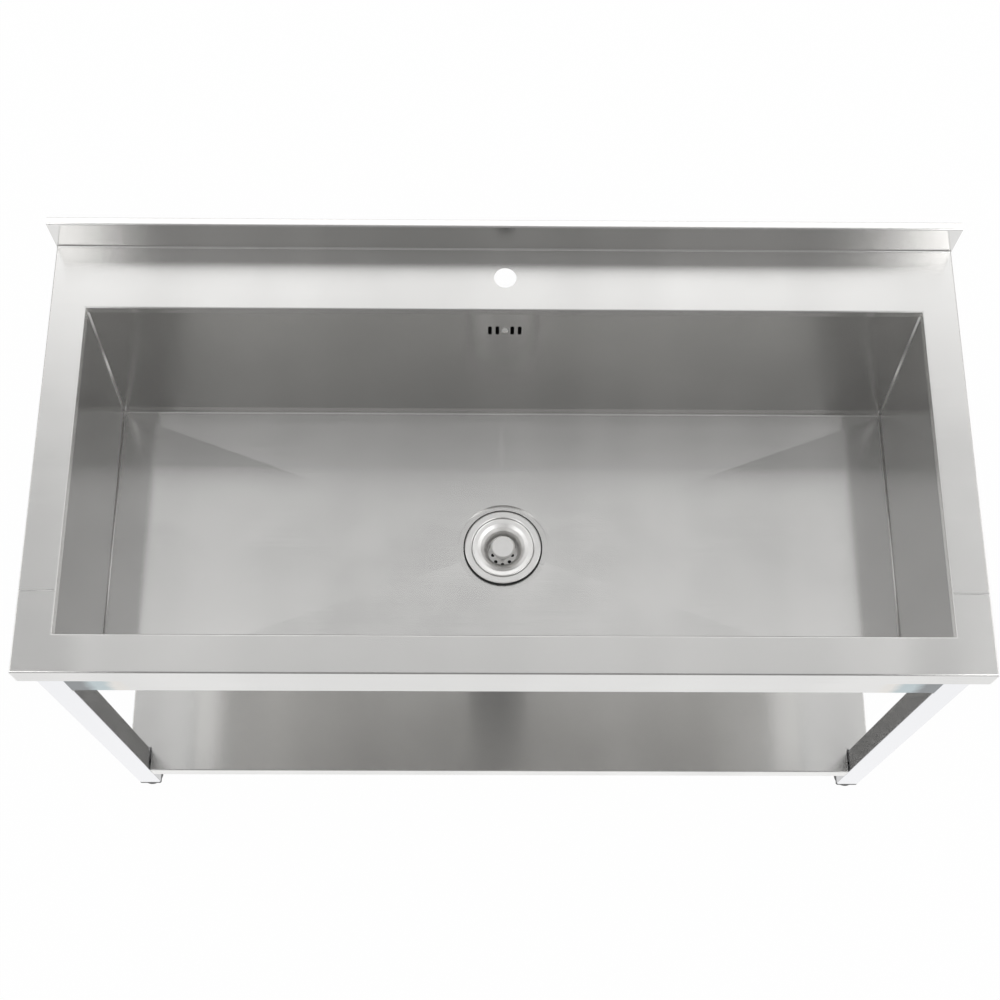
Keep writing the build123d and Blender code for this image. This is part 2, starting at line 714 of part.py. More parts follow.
def shelf_tray():
    """Folded tray, upside down, notched round the legs, with a bolt hole in each corner tab."""
    low = SHELF_Z - SHELF_FLANGE
    tray = Pos(0, 0, low) * extrude(shelf_outline(0), SHELF_FLANGE)
    tray = fillet(tray.faces().sort_by(Axis.Z)[-1].outer_wire().edges(), SHELF_FOLD)
    room = Pos(0, 0, low) * extrude(shelf_outline(SHEET), SHELF_FLANGE - SHEET)
    tray -= fillet(room.faces().sort_by(Axis.Z)[-1].outer_wire().edges(), SHELF_FOLD - SHEET)
    for side, end in CORNERS.values():
        reach = sorted((side * (NOTCH_X - DRILL_REACH), side * (NOTCH_X + DRILL_REACH)))
        tray -= cross_hole(M6_HOLE_R, reach, end * LEG_Y, SHELF_BOLT_Z)
    return tray


def shelf_pieces():
    """Tray cut below its folds: the panel, a flange on each side and the tabs round the legs."""
    tray = shelf_tray()
    tab_x = NOTCH_X - SHEET
    tab_y = NOTCH_Y - SHEET
    folded = (0, SHELF_Z - SHELF_FOLD)
    pieces = {
        "undershelf": tray & block((-FAR, FAR), (-FAR, FAR), (SHELF_Z - SHELF_FOLD, FAR)),
        "shelf_flange_front": tray & block((-tab_x, tab_x), (-FAR, -NOTCH_Y), folded),
        "shelf_flange_rear": tray & block((-tab_x, tab_x), (NOTCH_Y, FAR), folded),
        "shelf_flange_left": tray & block((-FAR, -NOTCH_X), (-tab_y, tab_y), folded),
        "shelf_flange_right": tray & block((NOTCH_X, FAR), (-tab_y, tab_y), folded),
    }
    pieces["shelf_tabs"] = [
        tray & block(sorted((side * tab_x, side * FAR)), sorted((end * tab_y, end * FAR)), folded)
        for side, end in CORNERS.values()
    ]
    return pieces


def shelf_channel():
    """Hat channel along the underside of the shelf."""
    top = SHELF_Z - SHEET
    half = CHANNEL_TOP_W / 2
    foot = CHANNEL_FEET_W / 2
    low = top - CHANNEL_H
    section = Polygon(
        (-foot, top),
        (-foot, top - SHEET),
        (-half, top - SHEET),
        (-half, low),
        (half, low),
        (half, top - SHEET),
        (foot, top - SHEET),
        (foot, top),
        (half - SHEET, top),
        (half - SHEET, low + SHEET),
        (-half + SHEET, low + SHEET),
        (-half + SHEET, top),
        align=None,
    )
    end_gap = 20.0
    return along_x(section, LEG_INNER_X - end_gap)


def leg_bracket(side, end):
    """Angle that ties a leg's inner face to the underside of the deck."""
    face_y = end * NOTCH_Y
    far_y = face_y - end * BRACKET_LEG
    web_y = face_y - end * BRACKET_T
    x_span = (side * LEG_X - BRACKET_W / 2, side * LEG_X + BRACKET_W / 2)
    top = UNDER_DECK_Z
    angle = block(x_span, sorted((face_y, far_y)), (top - BRACKET_T, top))
    angle += block(x_span, sorted((face_y, web_y)), (top - BRACKET_LEG, top - BRACKET_T))
    angle -= lengthwise_hole(M6_HOLE_R, side * LEG_X, sorted((face_y, web_y)), BRACKET_BOLT_Z)
    return angle - cylinder(M6_HOLE_R, (top - BRACKET_T, top), side * LEG_X, end * STUD_Y)


# ------------------------------------------------------------------ feet
def foot_pad(side, end):
    """Round moulded pad with a bevelled rim and a wrench hexagon."""
    rim_z = 8.0
    wrench = 24.0
    profile = [
        (0, 0),
        (PAD_R, 0),
        (PAD_R, rim_z - PAD_EDGE),
        (PAD_R - PAD_EDGE, rim_z),
        (0, rim_z),
    ]
    pad = turned(profile) + hexagon(wrench, (rim_z, PAD_H))
    return Pos(side * LEG_X, end * LEG_Y, 0) * (pad - cylinder(STEM_R, (STEM_FOOT_Z, PAD_H)))


def foot_stem(side, end):
    """Threaded rod moulded into the pad."""
    return cylinder(STEM_R, (STEM_FOOT_Z, STEM_TOP_Z), side * LEG_X, end * LEG_Y)


def foot_insert(side, end):
    """Square plug in the leg's lower end with a pocket for the nut."""
    plug_top = LEG_FOOT_Z + PLUG_H
    plug_w = LEG - 2 * SHEET - 2 * PLUG_SIDE_GAP
    flange = Pos(0, 0, INSERT_Z) * extrude(RectangleRounded(LEG, LEG, TUBE_CORNER), INSERT_FLANGE)
    plug = Pos(0, 0, LEG_FOOT_Z) * extrude(Rectangle(plug_w, plug_w), PLUG_H)
    insert = flange + plug
    insert -= cylinder(STEM_R + 2 * GAP, (INSERT_Z, plug_top))
    insert -= hexagon(NUT_AF + 2 * PLUG_SIDE_GAP, (plug_top - NUT_H, plug_top))
    return Pos(side * LEG_X, end * LEG_Y, 0) * insert


def foot_nuts():
    """Nuts held in the plugs; the stems run in them."""
    top = LEG_FOOT_Z + PLUG_H
    nut = hex_nut(NUT_AF, STEM_R + THREAD_GAP, (top - NUT_H, top))
    return [Pos(side * LEG_X, end * LEG_Y, 0) * nut for side, end in CORNERS.values()]


# ------------------------------------------------------------------ fasteners
def hex_bolt():
    """Hexagon bolt along +Z with the underside of its head at the origin."""
    return hexagon(M6_AF, (-M6_HEAD, 0)) + cylinder(M6_R, (0, M6_LENGTH))


def toward_x(side):
    """Turns +Z to the side's outward X direction."""
    return Rot(0, 90 * side, 0)


def toward_y(end):
    """Turns +Z to the end's outward Y direction."""
    return Rot(-90 * end, 0, 0)


def shelf_bolts():
    """One bolt through each shelf tab into its leg."""
    head_x = NOTCH_X - SHEET
    return [
        Pos(side * head_x, end * LEG_Y, SHELF_BOLT_Z) * toward_x(side) * hex_bolt()
        for side, end in CORNERS.values()
    ]


def bracket_bolts():
    """One bolt through each leg bracket into its leg."""
    head_y = NOTCH_Y - BRACKET_T
    return [
        Pos(side * LEG_X, end * head_y, BRACKET_BOLT_Z) * toward_y(end) * hex_bolt()
        for side, end in CORNERS.values()
    ]


def leg_nuts():
    """Weld nuts inside the legs for the shelf bolts and the bracket bolts."""
    nut = hex_nut(M6_AF, M6_R + THREAD_GAP / 2, (0, M6_NUT))
    nuts = []
    for side, end in CORNERS.values():
        shelf_place = Pos(side * (LEG_INNER_X + SHEET), end * LEG_Y, SHELF_BOLT_Z)
        bracket_place = Pos(side * LEG_X, end * (LEG_INNER_Y + SHEET), BRACKET_BOLT_Z)
        nuts.append(shelf_place * toward_x(side) * nut)
        nuts.append(bracket_place * toward_y(end) * nut)
    return nuts


def deck_studs():
    """Studs welded under the deck, one for each leg bracket."""
    span = (UNDER_DECK_Z - STUD_LENGTH, UNDER_DECK_Z)
    return [cylinder(M6_R, span, side * LEG_X, end * STUD_Y) for side, end in CORNERS.values()]


def deck_nuts():
    """Nuts on the deck studs, under the brackets."""
    high = UNDER_DECK_Z - BRACKET_T
    nut = hex_nut(M6_AF, M6_R + THREAD_GAP / 2, (high - M6_NUT, high))
    return [Pos(side * LEG_X, end * STUD_Y, 0) * nut for side, end in CORNERS.values()]


# ------------------------------------------------------------------ nodes
def build_nodes():
    """Every node by name: one solid, or a list of like solids."""
    nodes = deck_pieces() | shelf_pieces() | {
        "bowl_floor": bowl_floor(),
        "bowl_wall_front": bowl_wall_front(),
        "bowl_wall_rear": bowl_wall_rear(),
        "bowl_wall_left": bowl_wall_end(-1),
        "bowl_wall_right": bowl_wall_end(1),
        "overflow_seal": overflow_seal(),
        "overflow_housing": overflow_housing(),
        "overflow_screw": overflow_screw(),
        "strainer_gasket": strainer_gasket(),
        "strainer_flange": strainer_flange(),
        "drain_pot": drain_pot(),
        "drain_pot_seal": drain_pot_seal(),
        "drain_screw": drain_screw(),
        "basket_cup": basket_cup(),
        "basket_knob": basket_knob(),
        "basket_seal": basket_seal(),
        "rail_front": rail_along_x(-1, RAIL_TOP_Z),
        "rail_rear": rail_along_x(1, REAR_RAIL_TOP_Z),
        "rail_left": rail_along_y(-1),
        "rail_right": rail_along_y(1),
        "shelf_channel": shelf_channel(),
        "foot_nuts": foot_nuts(),
        "shelf_bolts": shelf_bolts(),
        "bracket_bolts": bracket_bolts(),
        "leg_nuts": leg_nuts(),
        "deck_studs": deck_studs(),
        "deck_nuts": deck_nuts(),
    }
    for corner, (side, end) in CORNERS.items():
        nodes["leg_" + corner] = leg(side, end)
        nodes["leg_bracket_" + corner] = leg_bracket(side, end)
        nodes["foot_insert_" + corner] = foot_insert(side, end)
        nodes["foot_pad_" + corner] = foot_pad(side, end)
        nodes["foot_stem_" + corner] = foot_stem(side, end)
    return nodes


def write_nodes(nodes):
    """One STEP file for each node."""
    os.makedirs("parts", exist_ok=True)
    for name, shape in nodes.items():
        solids = shape if isinstance(shape, list) else [shape]
        pieces = [solid for item in solids for solid in item.solids()]
        export_step(Compound(children=pieces), os.path.join("parts", name + ".step"))


write_nodes(build_nodes())
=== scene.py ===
import math

import bmesh
import bpy
from mathutils import Matrix, Vector


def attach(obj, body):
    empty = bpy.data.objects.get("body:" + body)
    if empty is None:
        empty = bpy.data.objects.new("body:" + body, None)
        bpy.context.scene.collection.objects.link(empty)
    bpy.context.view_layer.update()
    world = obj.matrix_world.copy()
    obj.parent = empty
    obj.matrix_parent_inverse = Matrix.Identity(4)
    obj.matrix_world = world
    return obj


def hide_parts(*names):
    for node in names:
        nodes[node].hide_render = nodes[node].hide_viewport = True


# A utility sink in folded stainless sheet on a square-tube stand, seen from high in front.
# Metres, in the frame's own axes: +X to the user's right, -Y the user's side, +Z up.

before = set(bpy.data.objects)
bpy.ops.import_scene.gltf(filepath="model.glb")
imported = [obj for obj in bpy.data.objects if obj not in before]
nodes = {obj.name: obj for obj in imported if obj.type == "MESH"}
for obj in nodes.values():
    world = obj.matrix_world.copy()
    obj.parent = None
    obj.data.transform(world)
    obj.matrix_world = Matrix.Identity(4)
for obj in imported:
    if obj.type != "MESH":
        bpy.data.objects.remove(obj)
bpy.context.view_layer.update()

# ------------------------------------------------------------------ camera
CAMERA_PLACE = (-0.0258, -0.7978, 2.6080)
CAMERA_PITCH = -69.22
CAMERA_YAW = -1.542
CAMERA_ROLL = 1.693
FOCAL_PIXELS = 1586.9
CENTRE_DROP_PIXELS = 13.1
IMAGE_PIXELS = 1000.0
SENSOR = 36.0


def add_camera():
    """Camera at the photograph's place, aimed by pitch, yaw and roll in degrees."""
    pitch, yaw, roll = (math.radians(a) for a in (CAMERA_PITCH, CAMERA_YAW, CAMERA_ROLL))
    forward = Vector(
        (-math.sin(yaw) * math.cos(pitch), math.cos(yaw) * math.cos(pitch), math.sin(pitch))
    )
    level = forward.cross(Vector((0, 0, 1))).normalized()
    upright = level.cross(forward)
    right = math.cos(roll) * level + math.sin(roll) * upright
    up = math.cos(roll) * upright - math.sin(roll) * level
    data = bpy.data.cameras.new("camera")
    data.sensor_fit = "HORIZONTAL"
    data.sensor_width = SENSOR
    data.lens = FOCAL_PIXELS / IMAGE_PIXELS * SENSOR
    data.shift_y = CENTRE_DROP_PIXELS / IMAGE_PIXELS
    data.clip_end = 50.0
    camera = bpy.data.objects.new("camera", data)
    bpy.context.scene.collection.objects.link(camera)
    axes = Matrix((right, up, -forward)).transposed().to_4x4()
    camera.matrix_world = Matrix.Translation(CAMERA_PLACE) @ axes
    bpy.context.scene.camera = camera


# ------------------------------------------------------------------ node sums
def math_node(tree, operation, first, second):
    """Math node between two values, each a socket or a number; returns its result."""
    node = tree.nodes.new("ShaderNodeMath")
    node.operation = operation
    for socket, value in zip(node.inputs, (first, second)):
        if isinstance(value, (int, float)):
            socket.default_value = value
        else:
            tree.links.new(value, socket)
    return node.outputs[0]


def weigh(tree, *parts):
    """Sum of sockets, each times its weight."""
    total = 0.0
    for socket, weight in parts:
        total = math_node(tree, "ADD", math_node(tree, "MULTIPLY", socket, weight), total)
    return total


# ------------------------------------------------------------------ light
ROOM_COLOUR = (1.0, 0.996, 0.99)
ROOM_LEVEL = 0.29
ROOM_SIDES = 0.9
ROOM_REAR = 0.7
ROOM_FADE = 6.0
# name, place, width, depth, glow
SOFTBOXES = (
    ("softbox_rear", (0.0, 2.38, 3.3), 5.4, 2.04, 1.08),
    ("softbox_top", (0.0, 0.45, 3.3), 2.4, 0.60, 0.68),
    ("softbox_top_left", (-1.8, 0.65, 3.3), 1.2, 0.90, 0.30),
    ("softbox_top_right", (1.8, 0.65, 3.3), 1.2, 0.90, 0.44),
    ("softbox_side_left", (-3.6, 0.45, 3.3), 1.4, 1.6, 2.0),
    ("softbox_side_right", (3.6, 0.45, 3.3), 1.4, 1.6, 2.0),
    ("softbox_front_left", (-3.06, -2.5, 5.5), 2.4, 4.1, 1.7),
    ("softbox_front_right", (3.20, -2.5, 5.5), 2.4, 4.1, 2.4),
)
FLOOR_HALF = 12.0
FLOOR_GREY = 0.92
FLOOR_WHITE_SHARE = 0.985


def add_lights():
    """Softboxes overhead, each as bright a surface as its glow, all facing down."""
    for name, place, width, depth, glow in SOFTBOXES:
        data = bpy.data.lights.new(name, "AREA")
        data.shape = "RECTANGLE"
        data.size = width
        data.size_y = depth
        data.energy = glow * math.pi * width * depth
        lamp = bpy.data.objects.new(name, data)
        lamp.location = place
        bpy.context.scene.collection.objects.link(lamp)


def add_room():
    """Pale studio room, brighter low down at both sides and at the rear."""
    world = bpy.data.worlds.new("room")
    bpy.context.scene.world = world
    world.use_nodes = True
    tree = world.node_tree
    background = tree.nodes["Background"]
    background.inputs["Color"].default_value = (*ROOM_COLOUR, 1)
    direction = tree.nodes.new("ShaderNodeTexCoord")
    split = tree.nodes.new("ShaderNodeSeparateXYZ")
    tree.links.new(direction.outputs["Generated"], split.inputs[0])
    across = math_node(tree, "ABSOLUTE", split.outputs["X"], 0.0)
    sides = math_node(tree, "POWER", across, ROOM_FADE)
    behind = math_node(tree, "MAXIMUM", split.outputs["Y"], 0.0)
    rear = math_node(tree, "POWER", behind, ROOM_FADE)
    glow = weigh(tree, (sides, ROOM_SIDES), (rear, ROOM_REAR))
    level = math_node(tree, "ADD", glow, ROOM_LEVEL)
    seen = tree.nodes.new("ShaderNodeLightPath").outputs["Is Camera Ray"]
    tree.links.new(math_node(tree, "MAXIMUM", level, seen), background.inputs["Strength"])


def add_floor():
    """White studio floor that keeps a faint shadow and shows white in the steel."""
    half = FLOOR_HALF
    corners = [(-half, -half, 0), (half, -half, 0), (half, half, 0), (-half, half, 0)]
    mesh = bpy.data.meshes.new("floor")
    mesh.from_pydata(corners, [], [(0, 1, 2, 3)])
    floor = bpy.data.objects.new("floor", mesh)
    bpy.context.scene.collection.objects.link(floor)
    material = bpy.data.materials.new("floor_white")
    material.use_nodes = True
    tree = material.node_tree
    tree.nodes.clear()
    output = tree.nodes.new("ShaderNodeOutputMaterial")
    diffuse = tree.nodes.new("ShaderNodeBsdfDiffuse")
    diffuse.inputs["Color"].default_value = (FLOOR_GREY, FLOOR_GREY, FLOOR_GREY, 1)
    glow = tree.nodes.new("ShaderNodeEmission")
    glow.inputs["Color"].default_value = (1, 1, 1, 1)
    path = tree.nodes.new("ShaderNodeLightPath")
    seen = math_node(tree, "MAXIMUM", path.outputs["Is Camera Ray"], path.outputs["Is Glossy Ray"])
    mix = tree.nodes.new("ShaderNodeMixShader")
    tree.links.new(math_node(tree, "MULTIPLY", seen, FLOOR_WHITE_SHARE), mix.inputs[0])
    tree.links.new(diffuse.outputs[0], mix.inputs[1])
    tree.links.new(glow.outputs[0], mix.inputs[2])
    tree.links.new(mix.outputs[0], output.inputs[0])
    mesh.materials.append(material)


# ------------------------------------------------------------------ sizes shared with the solids
BOWL_X = 0.552
BOWL_FRONT_Y = -0.250
BOWL_REAR_Y = 0.195
BOWL_REAR_FOOT_Y = 0.162
BOWL_FLOOR_Z = 0.490
WALL_TOP_Z = 0.733
DECK_Z = 0.745
LIP_Z = 0.707
HALF_WIDTH = 0.600
SPLASH_TOP_Z = 0.800
FOLD = 0.0025
SEAM_Y = -0.195
LEG_X = 0.5715
LEG_Y = 0.2715
LEG_HALF = 0.0175
LEG_FACE_X = LEG_X - LEG_HALF
LEG_FACE_Y = LEG_Y - LEG_HALF
RAIL_HALF_D = 0.0125
RAIL_HALF_H = 0.025
RAIL_Z = 0.643
REAR_RAIL_Z = 0.603
TUBE_CORNER = 0.003
STEM_R = 0.005
STEM_SPAN = (0.004, 0.070)
DRAIN_Y = -0.044
OUTLET_R = 0.0239
OUTLET_SPAN = (0.4045, 0.4215)


# ------------------------------------------------------------------ materials
WARM = (1.0, 0.994, 0.98)
COOL = (0.98, 0.984, 1.0)
# colour, strength, and how far from the leg's face the band starts and is full
HEAT_BANDS = (
    ((0.80, 0.74, 0.66), 0.35, 0.075, 0.058),
    ((0.42, 0.53, 0.57), 0.85, 0.055, 0.040),
    ((0.15, 0.16, 0.17), 0.90, 0.030, 0.012),
)
# painted highlight: a brighter base colour along the folds of the side rims and of the splash's top
FOLD_PAINTED_HIGHLIGHT = (0.96, 0.955, 0.945)
# painted light: the legs' outer faces take this brighter colour
TUBE_FACE_PAINTED_LIGHT = (0.90, 0.905, 0.93)
ALONG_X, ALONG_Y, ALONG_Z = 0, 1, 2
# axis, where the painted light starts and is full, colour
# painted highlight along the side rims' outer folds and the splash's top fold
SIDE_FOLD_PAINTED_HIGHLIGHT = (ALONG_X, HALF_WIDTH - 0.0028, HALF_WIDTH - 0.0005, FOLD_PAINTED_HIGHLIGHT)
TOP_FOLD_PAINTED_HIGHLIGHT = (ALONG_Z, SPLASH_TOP_Z - 0.0035, SPLASH_TOP_Z - 0.0005, FOLD_PAINTED_HIGHLIGHT)
# painted light on the legs' outer faces, which are lighter than their inner faces
OUTER_FACES_PAINTED_LIGHT = (ALONG_X, LEG_FACE_X + 0.0002, LEG_FACE_X + 0.0008, TUBE_FACE_PAINTED_LIGHT)
# noise scales along the grain and across it, and the scale of the marks
FINE_SCALES = (4.0, 320.0)
BAND_SCALES = (7.0, 0.7)
MARK_SCALE = 10.0
NOISE_SPAN = (0.3, 0.7)
TONE_SPREAD = 0.05
BRUSHED_ROUGH_SPREAD = 0.01
SATIN_ROUGH_SPREAD = 0.04
MOULDED_ROUGH_SPREAD = 0.05
# how far the painted light on folds and outer faces covers the steel's own colour
PAINTED_LIGHT_SHARE = 0.9
# a quarter turn, which lays the highlights across the grain
GRAIN_TURN = 0.25


def new_material(name):
    """Material with a principled shader; returns the material, its tree and the shader."""
    material = bpy.data.materials.new(name)
    material.use_nodes = True
    tree = material.node_tree
    return material, tree, tree.nodes["Principled BSDF"]


def object_place(tree):
    """Position in the object's own metres."""
    return tree.nodes.new("ShaderNodeTexCoord").outputs["Object"]


def noise(tree, scale, detail):
    """Noise from 0 to 1 at a scale for each axis."""
    mapping = tree.nodes.new("ShaderNodeMapping")
    mapping.inputs["Scale"].default_value = scale
    node = tree.nodes.new("ShaderNodeTexNoise")
    node.inputs["Scale"].default_value = 1.0
    node.inputs["Detail"].default_value = detail
    node.inputs["Roughness"].default_value = 0.6
    tree.links.new(object_place(tree), mapping.inputs["Vector"])
    tree.links.new(mapping.outputs["Vector"], node.inputs["Vector"])
    return node.outputs["Fac"]


def ramp(tree, source, from_span, to_span):
    """Maps one span of values smoothly to another."""
    node = tree.nodes.new("ShaderNodeMapRange")
    node.interpolation_type = "SMOOTHSTEP"
    sockets = ("From Min", "From Max", "To Min", "To Max")
    for socket, value in zip(sockets, (*from_span, *to_span)):
        node.inputs[socket].default_value = value
    tree.links.new(source, node.inputs["Value"])
    return node.outputs["Result"]


def blend_colours(tree, factor, first, second):
    """Mixes two colours, each three numbers or a socket."""
    node = tree.nodes.new("ShaderNodeMix")
    node.data_type = "RGBA"
    tree.links.new(factor, node.inputs["Factor"])
    for name, colour in (("A", first), ("B", second)):
        if isinstance(colour, tuple):
            node.inputs[name].default_value = (*colour, 1)
        else:
            tree.links.new(colour, node.inputs[name])
    return node.outputs["Result"]


def shaded(cast, shade):
    """A colour cast at a brightness."""
    return tuple(shade * part for part in cast)


def grain_scales(grain, along, across):
    """Noise scale for each axis, long along the grain."""
    return tuple(along if axis == grain else across for axis in range(3))


def add_roughness(tree, shader, source, rough, spread):
    """Roughness that wanders with a noise."""
    wander = ramp(tree, source, NOISE_SPAN, (rough - spread, rough + spread))
    tree.links.new(wander, shader.inputs["Roughness"])


def add_relief(tree, shader, height, strength, distance):
    """Bump from a height socket."""
    relief = tree.nodes.new("ShaderNodeBump")
    relief.inputs["Strength"].default_value = strength
    relief.inputs["Distance"].default_value = distance
    tree.links.new(height, relief.inputs["Height"])
    tree.links.new(relief.outputs["Normal"], shader.inputs["Normal"])


def distance_along(tree, axis):
    """Distance from the object's middle plane along one axis."""
    split = tree.nodes.new("ShaderNodeSeparateXYZ")
    tree.links.new(object_place(tree), split.inputs[0])
    return math_node(tree, "ABSOLUTE", split.outputs[axis], 0.0)


def heat_tint(tree, colour, axis, leg_face):
    """Straw, blue and dark bands that a weld leaves where a rail meets its legs."""
    ragged = weigh(tree, (noise(tree, (60.0,) * 3, 3.0), 0.012))
    reach = math_node(tree, "ADD", distance_along(tree, axis), ragged)
    for shade, strength, far, near in HEAT_BANDS:
        span = (leg_face - far, leg_face - near)
        colour = blend_colours(tree, ramp(tree, reach, span, (0.0, strength)), colour, shade)
    return colour


def brushed_steel(name, grain, shade, rough, anisotropy, cast=WARM, heat=None, outer=None):
    """Stainless steel with a fine grain along one axis.

    Beyond a distance along an axis, its outer faces and folds get a brighter base colour: painted
    light, standing in for the highlights on the folds and the lit outer faces of the legs.
    """
    material, tree, shader = new_material(name)
    fine = noise(tree, grain_scales(grain, *FINE_SCALES), 2.0)
    bands = noise(tree, grain_scales(grain, *BAND_SCALES), 1.0)
    marks = noise(tree, (MARK_SCALE,) * 3, 4.0)
    tone = weigh(tree, (fine, 0.15), (bands, 0.7), (marks, 0.15))
    colour = blend_colours(
        tree,
        ramp(tree, tone, NOISE_SPAN, (0.0, 1.0)),
        shaded(cast, shade * (1 - TONE_SPREAD)),
        shaded(cast, shade * (1 + TONE_SPREAD)),
    )
    if heat:
        colour = heat_tint(tree, colour, *heat)
    # painted light: folds and outer faces are blended towards a brighter colour
    if outer:
        axis, start, end, painted_colour = outer
        share = ramp(tree, distance_along(tree, axis), (start, end), (0.0, PAINTED_LIGHT_SHARE))
        colour = blend_colours(tree, share, colour, painted_colour)
    tree.links.new(colour, shader.inputs["Base Color"])
    worn = weigh(tree, (marks, 0.85), (fine, 0.15))
    add_roughness(tree, shader, worn, rough, BRUSHED_ROUGH_SPREAD)
    add_relief(tree, shader, fine, 0.004, 0.0001)
    shader.inputs["Metallic"].default_value = 1.0
    shader.inputs["Anisotropic"].default_value = anisotropy
    shader.inputs["Anisotropic Rotation"].default_value = GRAIN_TURN
    lay = tree.nodes.new("ShaderNodeCombineXYZ")
    lay.inputs[grain].default_value = 1.0
    tree.links.new(lay.outputs[0], shader.inputs["Tangent"])
    return material


def satin_steel(name, shade, rough, cast):
    """Pressed or turned steel with a soft even polish."""
    material, tree, shader = new_material(name)
    haze = noise(tree, (90.0,) * 3, 3.0)
    fine = noise(tree, (900.0,) * 3, 2.0)
    low, high = (shaded(cast, shade * part) for part in (1 - TONE_SPREAD, 1 + TONE_SPREAD))
    colour = blend_colours(tree, haze, low, high)
    tree.links.new(colour, shader.inputs["Base Color"])
    add_roughness(tree, shader, haze, rough, SATIN_ROUGH_SPREAD)
    add_relief(tree, shader, fine, 0.05, 0.0001)
    shader.inputs["Metallic"].default_value = 1.0
    return material


def moulded(name, colour, rough, grain_scale, bump):
    """Moulded plastic or rubber with a fine matt grain."""
    material, tree, shader = new_material(name)
    grain = noise(tree, (grain_scale,) * 3, 4.0)
    tint = blend_colours(tree, grain, shaded(colour, 0.75), shaded(colour, 1.25))
    tree.links.new(tint, shader.inputs["Base Color"])
    add_roughness(tree, shader, grain, rough, MOULDED_ROUGH_SPREAD)
    add_relief(tree, shader, grain, bump, 0.0002)
    return material


def dress(material, starts):
    """Gives a material to the CAD nodes whose names begin with one of some words."""
    for name in nodes:
        if name.startswith(starts):
            mesh = nodes[name].data
            mesh.materials.clear()
            mesh.materials.append(material)


LEGS = ("leg_front_", "leg_rear_")
LONG_RAILS = ("rail_front", "rail_rear")
SIDE_RAILS = ("rail_left", "rail_right")
FASTENERS = ("shelf_bolts", "bracket_bolts", "leg_nuts", "deck_studs", "deck_nuts")
PLASTIC_PARTS = ("foot_insert", "foot_pad", "drain_pot", "overflow_housing")
RUBBER_PARTS = ("strainer_gasket", "overflow_seal", "drain_pot_seal", "basket_seal")
# name, grain, shade, roughness, anisotropy, other options, starts of the node names
BRUSHED = (
    ("deck_steel", ALONG_X, 0.76, 0.17, 1.0, {"outer": SIDE_FOLD_PAINTED_HIGHLIGHT}, ("front_rim", "rim_", "rear_ledge")),
    ("splash_steel", ALONG_X, 0.76, 0.17, 1.0, {"outer": TOP_FOLD_PAINTED_HIGHLIGHT}, ("backsplash",)),
    ("bowl_floor_steel", ALONG_X, 0.79, 0.16, 1.0, {}, ("bowl_floor",)),
    # painted shade: the bowl's rear, front and end walls are darker copies of the bowl's sheet steel,
    # 0.60 and 0.41 against the floor's 0.79
    ("bowl_wall_steel_painted_shade", ALONG_X, 0.60, 0.19, 1.0, {}, ("bowl_wall_rear", "bowl_wall_front")),
    ("end_wall_steel_painted_shade", ALONG_Y, 0.41, 0.16, 0.9, {}, ("bowl_wall_left", "bowl_wall_right")),
    ("shelf_steel", ALONG_X, 0.76, 0.20, 1.0, {}, ("undershelf", "shelf_t", "shelf_c")),
    # painted light: the shelf's flanges are a brighter copy of the shelf steel, 0.92 against 0.76
    ("shelf_edge_steel_painted_light", ALONG_X, 0.92, 0.20, 1.0, {}, ("shelf_flange",)),
    ("bracket_steel", ALONG_X, 0.70, 0.36, 0.5, {}, ("leg_bracket",)),
    # painted shade: the legs' inner faces are darkened to 0.48, and their outer faces get painted light
    ("leg_steel_painted_light_and_shade", ALONG_Z, 0.48, 0.20, 0.9, {"cast": COOL, "outer": OUTER_FACES_PAINTED_LIGHT}, LEGS),
    ("rail_steel", ALONG_X, 0.78, 0.22, 0.9, {"heat": (ALONG_X, LEG_FACE_X)}, LONG_RAILS),
    ("side_rail_steel", ALONG_Y, 0.78, 0.22, 0.9, {"heat": (ALONG_Y, LEG_FACE_Y)}, SIDE_RAILS),
)
# name, shade, roughness, cast, starts of the node names
SATIN = (
    ("flange_steel", 0.86, 0.36, WARM, ("strainer_flange", "drain_screw")),
    ("polished_steel", 0.97, 0.38, WARM, ("basket_cup", "overflow_screw")),
    ("knob_steel", 0.84, 0.44, WARM, ("basket_knob",)),
    ("plated_steel", 0.62, 0.34, COOL, ("foot_nuts", "foot_stem", *FASTENERS)),
    ("weld_steel", 0.62, 0.36, WARM, ()),
)
# name, colour, roughness, grain scale, bump, starts of the node names
MOULDED = (
    ("black_plastic", (0.02, 0.02, 0.021), 0.45, 1500.0, 0.1, PLASTIC_PARTS),
    ("black_rubber", (0.012, 0.012, 0.012), 0.65, 2500.0, 0.2, RUBBER_PARTS),
)


def add_materials():
    """Materials for every CAD node; returns the satin and moulded ones by name for the pieces."""
    finishes = {}
    for name, grain, shade, rough, anisotropy, options, starts in BRUSHED:
        dress(brushed_steel(name, grain, shade, rough, anisotropy, **options), starts)
    for name, shade, rough, cast, starts in SATIN:
        finishes[name] = satin_steel(name, shade, rough, cast)
        dress(finishes[name], starts)
    for name, colour, rough, grain_scale, bump, starts in MOULDED:
        finishes[name] = moulded(name, colour, rough, grain_scale, bump)
        dress(finishes[name], starts)
    return finishes


# ------------------------------------------------------------------ pieces
X = Vector((1, 0, 0))
Y = Vector((0, 1, 0))
Z = Vector((0, 0, 1))
EMBED = 0.0002
REAR_COVE_R = 0.002
COVE_R = 0.0015
ARC_STEPS = 4
SEAM_HALF_WIDTH = 0.0012
SEAM_CROWN = 0.00006
RAIL_WELD_R = 0.0025
RIPPLE = 0.12
RIPPLE_PITCH = 0.0025
